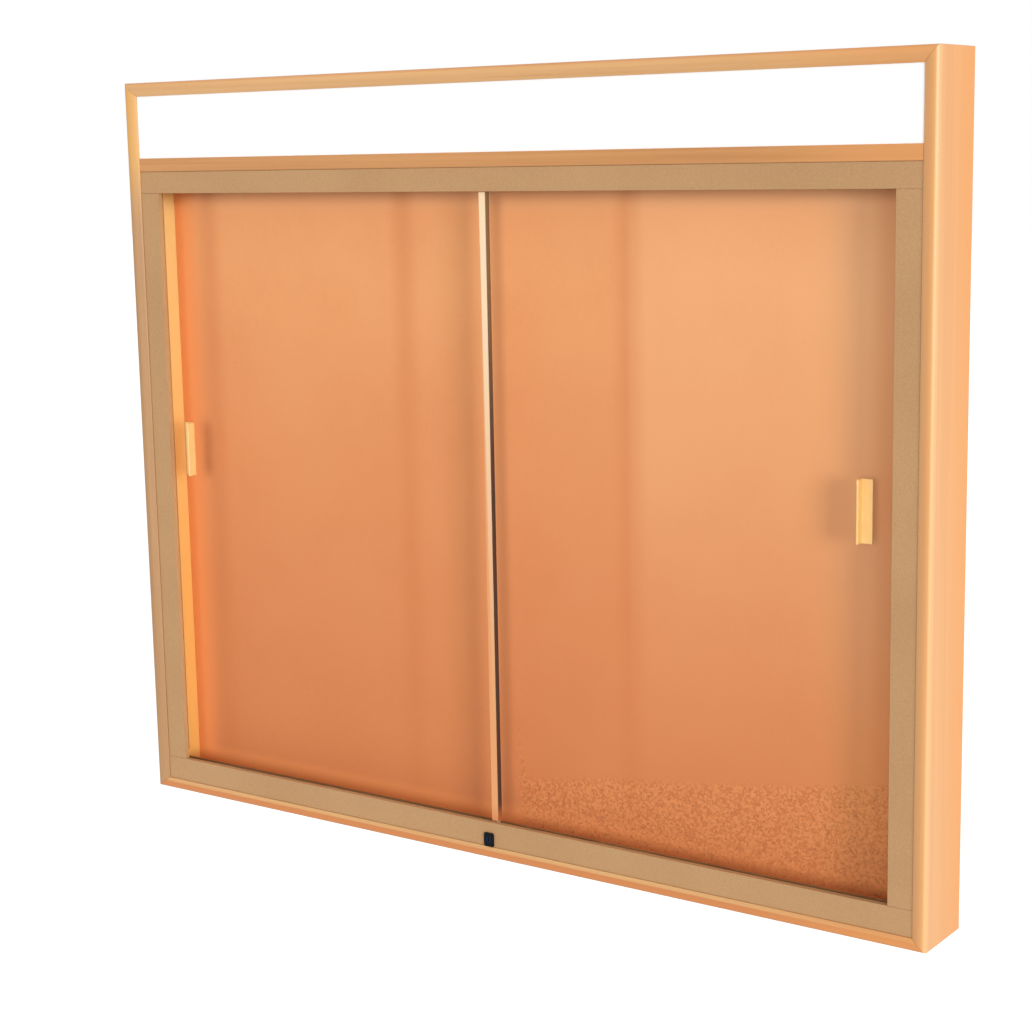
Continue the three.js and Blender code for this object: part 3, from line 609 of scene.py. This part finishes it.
zinc = plated_finish("zinc_plate", ZINC, ZINC_DULL, ZINC_CLOUDS)
for side in ("left", "right"):
    dress(zinc, eased(side + "_hanger", PLATE_EASE))
for node in sorted(name for name in nodes if "_screw_" in name):
    way = Vector(SHANK_WAYS[node.split("_screw_")[0]])
    low, high = (Vector(corner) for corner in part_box(node))
    length = abs((high - low).dot(way))
    head = (low + high) / 2 - way * length / 2
    shape = screw_shape(length)
    shape.transform(Matrix.Translation(head) @ way.to_track_quat("Z", "Y").to_matrix().to_4x4())
    dress(zinc, settled(shape, node, SCREW_CRISP_ANGLE))


# Pinning surface
# Natural cork, 4 mm thick, is glued in strips 350 mm wide to a soft fibreboard core that takes
# the pins. The granules are about 3 mm across, and the sheet darkens a little towards the bottom.
CORE_TONES = ((0.30, 0.22, 0.14, 1), (0.42, 0.32, 0.21, 1))
CORE_ROUGHNESS = (0.85, 0.95)
CORE_RELIEF = (0.6, 0.3 * MM)
PULP_SCALE = 180
TUFT_SCALE = 700
CORK_DARK = (0.66, 0.200, 0.060, 1)
CORK_MIDDLE = (0.895, 0.373, 0.151, 1)
CORK_LIGHT = (0.96, 0.476, 0.213, 1)
CORK_SPECK = (0.46, 0.110, 0.026, 1)
CORK_CHIP = (1.0, 0.400, 0.130, 1)
# painted light at the foot, where the lower track shades the cork
CORK_FOOT_LIGHT = (1.0, 0.350, 0.105, 1)
# painted light along the top and right edges, where the frame shades the cork; the palest is also
# the paler cork on the right
CORK_LIT_RUDDY = (0.98, 0.360, 0.115, 1)
CORK_PALE_AND_LIT = (1.0, 0.508, 0.250, 1)
CORK_BARK = (0.30, 0.080, 0.032, 1)
CORK_LOW = (0.62, 0.166, 0.050, 1)
# a painted glow, as of light thrown from the lit left wall
CORK_LEFT_GLOW = (1.0, 0.335, 0.100, 1)
CORK_STOPS = [(0.15, CORK_DARK), (0.5, CORK_MIDDLE), (0.85, CORK_LIGHT)]
CORK_ROUGHNESS = (0.8, 0.95)
CORK_RELIEF = (0.4, 0.35 * MM)
# granules, crumbs, fibres and clouds to a metre
GRANULES = 330
CRUMBS = 900
FINE_GRAIN = 430
CORK_CLOUDS = 7
# the cork is cut in strips, and their joints show as darker lines
CORK_STRIP = 350 * MM
CORK_JOINT = 174 * MM
JOINT_RUN = (0, 0.03)
JOINT_SHARE = 0.34
# the granules stand out below this height, which rises from the middle towards both ends
COARSE_HEIGHT = -0.43
COARSE_SLOPE = 0.14
COARSE_LEFT_RISE = 0.07
COARSE_WAVER = 0.02
COARSE_FADE = (-0.004, 0.01)
COARSE_LEFT_FADE = 0.05
LEFT_OF_MIDDLE = (0.01, -0.01)
LEFT_SMOOTHNESS = 0.94
# how much each layer of the pattern says, with a number for coarse cork and one for smooth cork
GRANULE_SHARE = 0.35
FINE_SHARE = 0.65
FINE_HEIGHT = 0.4
GRAIN_CONTRAST = (1.0, 0.02)
RELIEF_CONTRAST = (0.55, 0.03)
WEAVE_SHARE = 0.10
CLOUD_SHARE = 0.25
CRUMB_SHARE = 0.75
SPECK_RUN = (0.36, 0.62)
SPECK_SHARE = 0.33
CHIP_SHARE = 0.24
BARK_RUN = (0.86, 0.94)
BARK_SHARE = 0.3
# where the cork's tone changes, and where painted light lies on it, from the middle of the case
DARKER_DOWN = (0.42, -0.52)
DARKER_DOWN_SHARE = 0.6
LOWER_HALF = (0.26, 0.08)
LOWER_HALF_SHARE = 0.14
PALE_STRIP = (0.168, 0.180)
PALE_STRIP_UP = (-0.45, 0.3)
PALE_STRIP_SHARE = 0.4
# painted light where the frame shades the cork, along the top and the right
TOP_LIGHT = (0.32, 0.36)
TOP_LIGHT_SHARE = 0.7
TOP_LIGHT_RIGHT = (0.1, 0.2)
TOP_LIGHT_RIGHT_SHARE = 0.25
RIGHT_LIGHT = (0.41, 0.53)
RIGHT_LIGHT_UP = (0.05, 0.32)
RIGHT_LIGHT_SHARE = 0.5
LIT_RUDDY_TO_PALE = (-0.40, -0.05)
# a painted glow by the left wall
LEFT_GLOW = (-0.53, -0.585)
LEFT_GLOW_SHARE = 0.8
# painted light at the foot
FOOT_LIGHT = (-0.450, -0.482)
FOOT_LIGHT_SHARE = 0.9
FOOT_LIGHT_COARSE_SHARE = 0.35


def fibreboard_finish():
    made, start = new_finish("soft_fibreboard")
    place = own_place(start)
    pulp = noise(place, PULP_SCALE, Detail=5)
    tufts = start.node("TexVoronoi", inputs={"Vector": place, "Scale": TUFT_SCALE})
    colour = pulp.between(*NOISE_RUN).mix(*CORE_TONES)
    bumps = (pulp - tufts, *CORE_RELIEF)
    show(start, surface(start, colour, pulp.span(*CORE_ROUGHNESS), bumps))
    return made


def cork_tone_and_light(place, colour):
    """The cork's tone, darker low down and paler on the right, with painted light where the frame
    shades it and a painted glow by the left wall.
    """
    x, z = part(place, "x"), part(place, "z")
    low = z.between(*DARKER_DOWN) * DARKER_DOWN_SHARE + z.between(*LOWER_HALF) * LOWER_HALF_SHARE
    colour = low.mix(colour, CORK_LOW)
    # the cork is paler from the third strip on, more so higher up
    pale = x.between(*PALE_STRIP) * z.between(*PALE_STRIP_UP) * PALE_STRIP_SHARE
    colour = pale.mix(colour, CORK_PALE_AND_LIT)
    # painted light along the top and right edges, where the frame's shadow falls
    top_light = z.between(*TOP_LIGHT) * (x.between(*TOP_LIGHT_RIGHT) * TOP_LIGHT_RIGHT_SHARE + TOP_LIGHT_SHARE)
    right_light = x.between(*RIGHT_LIGHT) * z.between(*RIGHT_LIGHT_UP).span(RIGHT_LIGHT_SHARE, 1)
    edges = place.node("Clamp", inputs={"Value": top_light + right_light})
    colour = edges.mix(colour, z.between(*LIT_RUDDY_TO_PALE).mix(CORK_LIT_RUDDY, CORK_PALE_AND_LIT))
    # a painted glow by the left wall
    return (x.between(*LEFT_GLOW) * LEFT_GLOW_SHARE).mix(colour, CORK_LEFT_GLOW)


def cork_finish():
    made, start = new_finish("natural_cork")
    place = own_place(start)
    x, z = part(place, "x"), part(place, "z")
    cells = {"Vector": place, "Scale": GRANULES}
    hollow = start.node("TexVoronoi", inputs=cells, out="Distance")
    granule = start.node("TexVoronoi", inputs=cells, out="Color")
    granule_tone = start.node("SeparateColor", inputs={"Color": granule}, out="Red")
    granule_kind = start.node("SeparateColor", inputs={"Color": granule}, out="Green")
    cloud = noise(place, CORK_CLOUDS, Detail=4)
    fine = noise(place, FINE_GRAIN, Detail=3)
    crumbs = noise(place, CRUMBS, Detail=2)
    level = noise(stretched(start, "x", across=900, lengthwise=55, seed=2))
    upright = noise(stretched(start, "z", across=900, lengthwise=55, seed=6))
    left_half = x.between(*LEFT_OF_MIDDLE)
    rise = abs(x) * COARSE_SLOPE + left_half * COARSE_LEFT_RISE + cloud * COARSE_WAVER
    fade_start, fade_end = COARSE_FADE
    above = z - (rise + COARSE_HEIGHT)
    coarse = 1 - above.between(fade_start, fade_end + COARSE_LEFT_FADE * left_half)
    coarse = coarse * (1 - left_half * LEFT_SMOOTHNESS)
    strength, least = GRAIN_CONTRAST
    grain = granule_tone * GRANULE_SHARE + fine * FINE_SHARE - 0.5
    tone = grain * (coarse * strength + least)
    tone = tone + (level + upright - 1) * WEAVE_SHARE + (cloud - 0.5) * CLOUD_SHARE + 0.5
    colour = start.node("ValToRGB", {"stops": CORK_STOPS}, {"Fac": tone})
    colour = cork_tone_and_light(place, colour)
    joint = x.maths("PINGPONG", x - CORK_JOINT, CORK_STRIP / 2)
    colour = ((1 - joint.between(*JOINT_RUN)) * JOINT_SHARE).mix(colour, CORK_DARK)
    speck = (crumbs * CRUMB_SHARE + granule_tone * (1 - CRUMB_SHARE)).between(*SPECK_RUN)
    colour = ((1 - speck) * coarse * SPECK_SHARE).mix(colour, CORK_SPECK)
    colour = (speck * coarse * CHIP_SHARE).mix(colour, CORK_CHIP)
    # painted light at the foot, where the lower track shades the cork
    foot = z.between(*FOOT_LIGHT) * (FOOT_LIGHT_SHARE - coarse * FOOT_LIGHT_COARSE_SHARE)
    colour = foot.mix(colour, CORK_FOOT_LIGHT)
    colour = (granule_kind.between(*BARK_RUN) * coarse * BARK_SHARE).mix(colour, CORK_BARK)
    strength, least = RELIEF_CONTRAST
    height = (fine * FINE_HEIGHT - hollow) * (coarse * strength + least)
    bumps = (height, *CORK_RELIEF)
    show(start, surface(start, colour, fine.span(*CORK_ROUGHNESS), bumps))
    return made


dress(fibreboard_finish(), eased("fibreboard_core", SHEET_EASE))
dress(cork_finish(), eased("cork_panel", SHEET_EASE))


# Header panel
# A stiff white plastic sheet, 3 mm thick, slides in a groove in the boards and the divider. It
# takes the heading of the board, and it is blank.
HEADER_WHITE = (0.95, 0.95, 0.945, 1)
HEADER_WORN = (0.935, 0.935, 0.93, 1)
HEADER_ROUGHNESS = 0.34
HEADER_SKIN = 260
MOULDED_RUN = (0.35, 0.75)
MOULDED_CLOUDS = 14
MOULDED_SKIN = 900
MOULDED_RELIEF = (0.2, 0.04 * MM)
MOULDED_CLOUD_ROUGHNESS = 0.1
MOULDED_SKIN_ROUGHNESS = 0.06


def moulded_finish(name, tone, worn, roughness, skin=MOULDED_SKIN):
    """Moulded, extruded or cast plastic and rubber: a faint mottling and a fine matt skin."""
    made, start = new_finish(name)
    place = own_place(start)
    cloud = noise(place, MOULDED_CLOUDS, Detail=5)
    peel = noise(place, skin, Detail=2)
    colour = cloud.between(*MOULDED_RUN).mix(tone, worn)
    rough = roughness + cloud * MOULDED_CLOUD_ROUGHNESS + peel * MOULDED_SKIN_ROUGHNESS
    show(start, surface(start, colour, rough, (peel, *MOULDED_RELIEF)))
    return made


header_sheet = moulded_finish(
    "header_sheet", HEADER_WHITE, HEADER_WORN, HEADER_ROUGHNESS, HEADER_SKIN
)
dress(header_sheet, eased("header_panel", SHEET_EASE))


# Door frame
# Extruded aluminium tracks above and below and L-shaped jambs between them, powder-coated taupe.
# Vinyl seals, plastic glide channels and rubber stops are pushed into them.
TAUPE = (0.464, 0.260, 0.114, 1)
TAUPE_PALE = (0.510, 0.296, 0.136, 1)
TAUPE_DEEP = (0.418, 0.226, 0.094, 1)
TAUPE_STOPS = [(0.34, TAUPE_DEEP), (0.5, TAUPE), (0.66, TAUPE_PALE)]
TAUPE_SPECKS = 850
TAUPE_SKIN = 420
TAUPE_CLOUDS = 6
TAUPE_SPECK_SHARE = 0.65
TAUPE_ROUGHNESS = (0.46, 0.58)
TAUPE_RELIEF = (0.35, 0.05 * MM)
FRAME_EASE = 0.15 * MM
SEAL_TONES = ((0.30, 0.155, 0.062, 1), (0.36, 0.19, 0.08, 1))
SEAL_ROUGHNESS = 0.5
GLIDE_TONES = ((0.62, 0.29, 0.12, 1), (0.70, 0.35, 0.16, 1))
GLIDE_ROUGHNESS = 0.42
RUBBER_TONES = ((0.028, 0.024, 0.021, 1), (0.05, 0.044, 0.039, 1))
RUBBER_ROUGHNESS = 0.7
RUBBER_SKIN = 1400


def powder_finish():
    made, start = new_finish("taupe_powder_coat")
    place = own_place(start)
    speck = noise(place, TAUPE_SPECKS, Detail=2)
    peel = noise(place, TAUPE_SKIN, Detail=2)
    cloud = noise(place, TAUPE_CLOUDS, Detail=3)
    tone = speck * TAUPE_SPECK_SHARE + cloud * (1 - TAUPE_SPECK_SHARE)
    colour = start.node("ValToRGB", {"stops": TAUPE_STOPS}, {"Fac": tone})
    show(start, surface(start, colour, speck.span(*TAUPE_ROUGHNESS), (peel, *TAUPE_RELIEF)))
    return made


taupe = powder_finish()
for node in ("top_track", "bottom_track", "left_jamb", "right_jamb"):
    dress(taupe, eased(node, FRAME_EASE))
seal_vinyl = moulded_finish("seal_vinyl", *SEAL_TONES, SEAL_ROUGHNESS)
for node in ("left_jamb_seal", "right_jamb_seal"):
    dress(seal_vinyl, eased(node, FRAME_EASE))
glide_plastic = moulded_finish("glide_plastic", *GLIDE_TONES, GLIDE_ROUGHNESS)
for node in ("front_glide_channel", "rear_glide_channel"):
    dress(glide_plastic, eased(node, FRAME_EASE))
stop_rubber = moulded_finish("stop_rubber", *RUBBER_TONES, RUBBER_ROUGHNESS, RUBBER_SKIN)
for node in ("left_door_stop", "right_door_stop"):
    dress(stop_rubber, eased(node, FRAME_EASE))


# Sliding doors
# Each door is a sheet of 6 mm glass with ground edges, standing in an aluminium shoe that rolls on
# two grooved nylon wheels. The front door's meeting edge has an ivory plastic trim and a rubber
# strip, and each door has an L-shaped finger pull of gold anodised aluminium stuck to it.
GLASS_TINT = (0.975, 0.985, 0.978, 1)
GLASS_EDGE = (0.30, 0.56, 0.46, 1)
GLASS_IOR = 1.22
GLASS_GLEAM_ROUGHNESS = 0.02
GLASS_EASE = 0.5 * MM
EDGE_GRIT = 1500
EDGE_ROUGHNESS = (0.25, 0.55)
# the ground edges lie across the sheet's thickness, and still let some light through
FACE_RUN = (0.45, 0.8)
GROUND_SHARE = 0.6
# a pane mirrors little until it is seen aslant
MIRROR_RUN = (0.016, 0.5)
SHOE_METAL = (0.62, 0.40, 0.22, 1)
SHOE_DULL = (0.50, 0.31, 0.17, 1)
SHOE_CLOUDS = 25
SHOE_ROUGHNESS = 0.42
NYLON_TONES = ((0.72, 0.68, 0.58, 1), (0.66, 0.61, 0.50, 1))
NYLON_ROUGHNESS = 0.45
WHEEL_EASE = 0.15 * MM
GOLD = (0.90, 0.585, 0.235, 1)
GOLD_DEEP = (0.85, 0.525, 0.195, 1)
GOLD_METALLIC = 0.3
GOLD_CLOUDS = 70
GOLD_BRUSH_SHARE = 0.6
GOLD_ROUGHNESS = (0.42, 0.58)
GOLD_RELIEF = (0.3, 0.02 * MM)
PULL_EASE = 0.45 * MM
PULL_STEPS = 3
# the ivory is a painted reflection on tan plastic
IVORY_REFLECTION = (0.90, 0.68, 0.44, 1)
TRIM_TAN = (0.74, 0.33, 0.13, 1)
IVORY_FOOT = (0.66, 0.260, 0.095, 1)
TRIM_FOOT = (-0.460, -0.432)
TRIM_CLOUDS = 60
TRIM_ROUGHNESS = (0.42, 0.62)
TRIM_STEPS = 3
# a painted reflection: the ivory shows right of a line that leans, and less of it lower down
REFLECTION_LINE = 0.0068
REFLECTION_LEAN = 0.0075
REFLECTION_WAVER = 0.0008
REFLECTION_RUN = (-0.0006, 0.0010)
REFLECTION_UP = (-0.40, 0.34)
STRIP_PALE = (0.20, 0.105, 0.042, 1)
STRIP_DARK = (0.045, 0.016, 0.008, 1)
STRIP_BROWN = (0.36, 0.105, 0.028, 1)
STRIP_CLOUDS = 90
STRIP_ROUGHNESS = (0.6, 0.8)
PALER_UP = (-0.05, 0.36)
PALER_WAVER = 0.1


def glass_finish():
    made, start = new_finish("door_glass")
    forward = part(start.node("TexCoord", out="Normal"), "y")
    ground = 1 - (forward * forward).between(*FACE_RUN)
    clear = start.node("BsdfTransparent", inputs={"Color": GLASS_TINT})
    gleam = start.node(
        "BsdfAnisotropic", inputs={"Color": PAPER_WHITE, "Roughness": GLASS_GLEAM_ROUGHNESS}
    )
    # only the outer face of the sheet mirrors, since rays go through it unbent
    inside = start.node("NewGeometry", out="Backfacing")
    glance = start.node("Fresnel", inputs={"IOR": GLASS_IOR})
    mirror = glance.between(*MIRROR_RUN) * (1 - inside)
    pane = blend(start, mirror, clear, gleam)
    grit = noise(own_place(start), EDGE_GRIT, Detail=2)
    frosted = grit.between(*NOISE_RUN).mix(GLASS_EDGE, GLASS_TINT)
    edge = surface(start, frosted, grit.span(*EDGE_ROUGHNESS))
    show(start, blend(start, ground * GROUND_SHARE, pane, edge))
    return made


def anodised_finish():
    made, start = new_finish("gold_anodising")
    brush = noise(stretched(start, "z", across=2600, lengthwise=40, seed=4), Detail=2)
    cloud = noise(own_place(start), GOLD_CLOUDS, Detail=3)
    tone = (brush * GOLD_BRUSH_SHARE + cloud * (1 - GOLD_BRUSH_SHARE)).between(*NOISE_RUN)
    colour = tone.mix(GOLD_DEEP, GOLD)
    rough = brush.span(*GOLD_ROUGHNESS)
    bumps = (brush, *GOLD_RELIEF)
    show(start, surface(start, colour, rough, bumps, {"Metallic": GOLD_METALLIC}))
    return made


def trim_finish():
    """Tan plastic with a painted reflection in ivory on its side away from the glass, narrower
    lower down; darker at its foot.
    """
    made, start = new_finish("ivory_trim")
    place = own_place(start)
    x, z = part(place, "x"), part(place, "z")
    cloud = noise(place, TRIM_CLOUDS, Detail=3)
    line = x + z * REFLECTION_LEAN + REFLECTION_LINE + cloud * REFLECTION_WAVER
    # a painted reflection
    reflection = line.between(*REFLECTION_RUN) * z.between(*REFLECTION_UP)
    colour = z.between(*TRIM_FOOT).mix(IVORY_FOOT, reflection.mix(TRIM_TAN, IVORY_REFLECTION))
    show(start, surface(start, colour, cloud.span(*TRIM_ROUGHNESS)))
    return made


def strip_finish():
    """Rubber, paler at the top and browner at the foot."""
    made, start = new_finish("strip_rubber")
    place = own_place(start)
    z = part(place, "z")
    cloud = noise(place, STRIP_CLOUDS, Detail=4)
    paler_up = (z + (cloud - 0.5) * PALER_WAVER).between(*PALER_UP)
    colour = z.between(*TRIM_FOOT).mix(STRIP_BROWN, paler_up.mix(STRIP_DARK, STRIP_PALE))
    show(start, surface(start, colour, cloud.span(*STRIP_ROUGHNESS)))
    return made


door_glass = glass_finish()
gold = anodised_finish()
shoe_metal = plated_finish("shoe_anodising", SHOE_METAL, SHOE_DULL, SHOE_CLOUDS, SHOE_ROUGHNESS)
wheel_nylon = moulded_finish("wheel_nylon", *NYLON_TONES, NYLON_ROUGHNESS)
for side in ("left", "right"):
    dress(door_glass, eased(side + "_glass", GLASS_EASE))
    dress(shoe_metal, eased(side + "_shoe", FRAME_EASE))
    dress(zinc, eased(side + "_strike", FRAME_EASE))
    dress(gold, eased(side + "_pull", PULL_EASE, PULL_STEPS))
    for end in ("left", "right"):
        roller = f"{side}_door_{end}"
        dress(wheel_nylon, eased(roller + "_wheel", WHEEL_EASE))
        dress(zinc, eased(roller + "_axle", WHEEL_EASE))
dress(trim_finish(), eased("left_edge_trim", FRAME_EASE, TRIM_STEPS))
dress(strip_finish(), eased("left_edge_seal", FRAME_EASE))


# Lock
# A cam lock in dark nickel goes through the lower track's front wall, held by a spring clip. Its
# plug turns a steel cam, whose pin lifts a fork bolt into the strikes of both doors.
NICKEL_TONES = ((0.0022, 0.0060, 0.0075, 1), (0.0012, 0.0022, 0.0034, 1))
PLUG_TONES = ((0.005, 0.014, 0.042, 1), (0.003, 0.009, 0.026, 1))
NICKEL_ROUGHNESS = 0.28
PLUG_ROUGHNESS = 0.24
HAZE_SCALE = 300
HAZE_ROUGHNESS = 0.12
NICKEL_RELIEF = (0.15, 0.02 * MM)
NICKEL_GLOSS = {"Metallic": 0.1, "Specular IOR Level": 0.12}
LOCK_EASE = 0.7 * MM
PLUG_EASE = 0.25 * MM


def nickel_finish(name, bright, deep, roughness):
    made, start = new_finish(name)
    haze = noise(own_place(start), HAZE_SCALE, Detail=4)
    colour = haze.between(*NOISE_RUN).mix(deep, bright)
    rough = roughness + haze * HAZE_ROUGHNESS
    show(start, surface(start, colour, rough, (haze, *NICKEL_RELIEF), NICKEL_GLOSS))
    return made


dark_nickel = nickel_finish("dark_nickel", *NICKEL_TONES, NICKEL_ROUGHNESS)
plug_nickel = nickel_finish("plug_nickel", *PLUG_TONES, PLUG_ROUGHNESS)
dress(dark_nickel, eased("lock_body", LOCK_EASE))
dress(plug_nickel, eased("lock_plug", PLUG_EASE))
for node in ("lock_clip", "lock_cam", "lock_bolt"):
    dress(zinc, eased(node, WHEEL_EASE))
